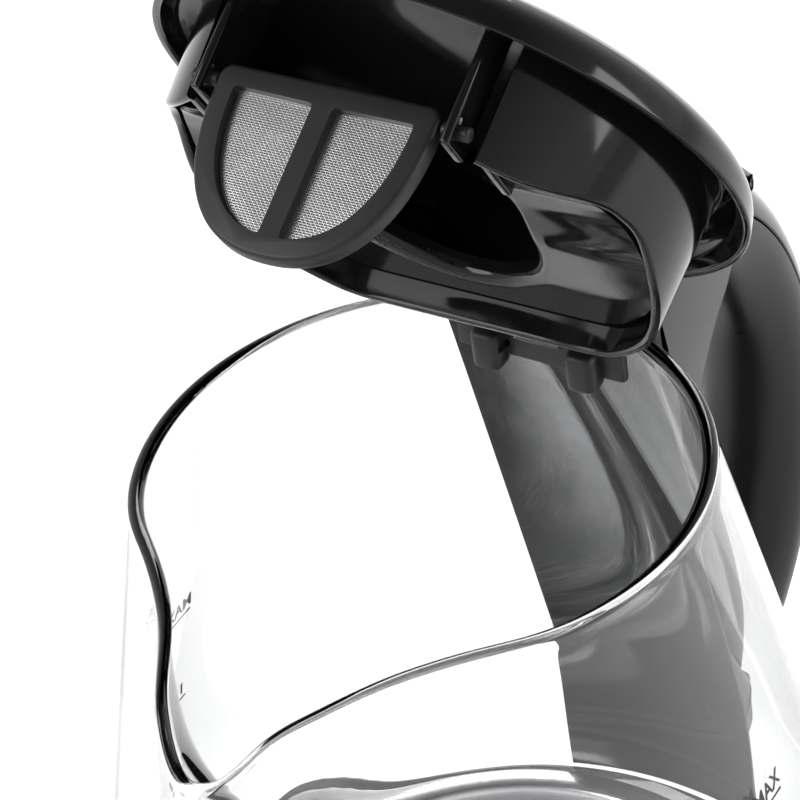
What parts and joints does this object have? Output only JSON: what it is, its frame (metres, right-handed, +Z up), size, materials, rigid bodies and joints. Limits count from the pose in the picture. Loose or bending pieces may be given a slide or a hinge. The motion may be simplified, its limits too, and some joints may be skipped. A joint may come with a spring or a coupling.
{
  "type": "electric kettle",
  "caption": "Cordless glass electric kettle with a sprung hinged lid, spout filter, loop handle, steel heating plate and a round power base.",
  "frame": {"origin": "on the jug's vertical axis, at the underside of the power base", "axes": "+Z up along the jug's axis, +X towards the handle and lid hinge, -X towards the spout, +Y to the side; the lid stands open at rest"},
  "size_m": [0.2328, 0.1638, 0.3198],
  "materials": {
    "black_gloss": "glossy black plastic",
    "black_satin": "fine-grained satin black plastic",
    "glass": "clear borosilicate glass",
    "clear_plastic": "clear plastic",
    "steel": "brushed stainless steel",
    "spring_steel": "drawn spring wire",
    "aluminium": "cast aluminium",
    "brass": "plain brass-coloured bimetal",
    "rubber": "matt black rubber",
    "silicone": "translucent grey silicone",
    "filter_grey": "satin dark grey plastic"
  },
  "bodies": {
    "power_base": {"power_base_top": "black_gloss", "power_base_plate": "black_satin", "base_screw_1": "steel", "base_screw_2": "steel", "base_screw_3": "steel", "base_foot_1": "rubber", "base_foot_2": "rubber", "base_foot_3": "rubber", "base_foot_4": "rubber", "base_connector": "black_satin", "cord_gland": "rubber"},
    "swivel": {"swivel_ring": "black_satin"},
    "kettle": {"glass_jug": "glass", "base_collar": "black_gloss", "underside_cover": "black_satin", "cover_screw_1": "steel", "cover_screw_2": "steel", "cover_screw_3": "steel", "heater_ring": "steel", "heating_plate": "steel", "plate_seal": "silicone", "heat_spreader": "aluminium", "heating_element": "aluminium", "kettle_connector": "black_satin", "thermostat_control": "black_satin", "bimetal_disc_left": "brass", "bimetal_disc_right": "brass", "handle_body": "black_satin", "handle_cover": "black_gloss", "steam_tube": "silicone", "handle_spine": "black_satin", "handle_head": "black_satin", "handle_foot": "black_satin", "lever_pin": "steel", "steam_switch": "black_satin", "steam_bimetal": "brass", "hinge_bracket": "black_satin", "clear_clip": "clear_plastic", "hinge_pin": "steel", "lid_spring_left": "spring_steel", "lid_spring_right": "spring_steel", "button_spring": "spring_steel"},
    "lid": {"lid_plug": "black_gloss", "lid_shell": "black_gloss", "lid_floor": "black_gloss", "lid_screw_1": "steel", "lid_screw_2": "steel"},
    "filter": {"filter_frame": "filter_grey", "filter_mesh_right": "steel", "filter_pivot_right": "filter_grey", "filter_mesh_left": "steel", "filter_pivot_left": "filter_grey"},
    "button": {"release_button": "black_gloss"},
    "latch": {"latch_slide": "black_satin"},
    "lever": {"switch_lever": "black_gloss"}
  },
  "joints": [
    {"name": "base_swivel", "type": "hinge", "parent": "power_base", "child": "swivel", "pos_m": [0, 0, 0.0201], "axis": [0, 0, 1], "continuous": true},
    {"name": "kettle_lift", "type": "slide", "parent": "swivel", "child": "kettle", "axis": [0, 0, 1], "range_m": [0, 0.12]},
    {"name": "lid_hinge", "type": "hinge", "parent": "kettle", "child": "lid", "pos_m": [0.0643, 0, 0.2152], "axis": [0, 1, 0], "range_deg": [-60, 0], "stiffness_Nm_per_rad": 0.12, "springref_deg": 20.05},
    {"name": "filter_swing", "type": "hinge", "parent": "lid", "child": "filter", "pos_m": [-0.00937, 0, 0.29541], "axis": [0, 1, 0], "range_deg": [-50, 0]},
    {"name": "button_press", "type": "slide", "parent": "kettle", "child": "button", "axis": [0, 0, -1], "range_m": [0, 0.003], "stiffness_N_per_m": 400, "springref_m": -0.002, "deforming": ["button_spring"]},
    {"name": "latch_travel", "type": "slide", "parent": "kettle", "child": "latch", "axis": [1, 0, 0], "range_m": [0, 0.0024]},
    {"name": "switch_tilt", "type": "hinge", "parent": "kettle", "child": "lever", "pos_m": [0.09841, 0, 0.059], "axis": [0, 1, 0], "range_deg": [0, 14]}
  ],
  "couplings": [
    {"joint": "latch_travel", "follows": "button_press", "ratio": 0.8}
  ]
}
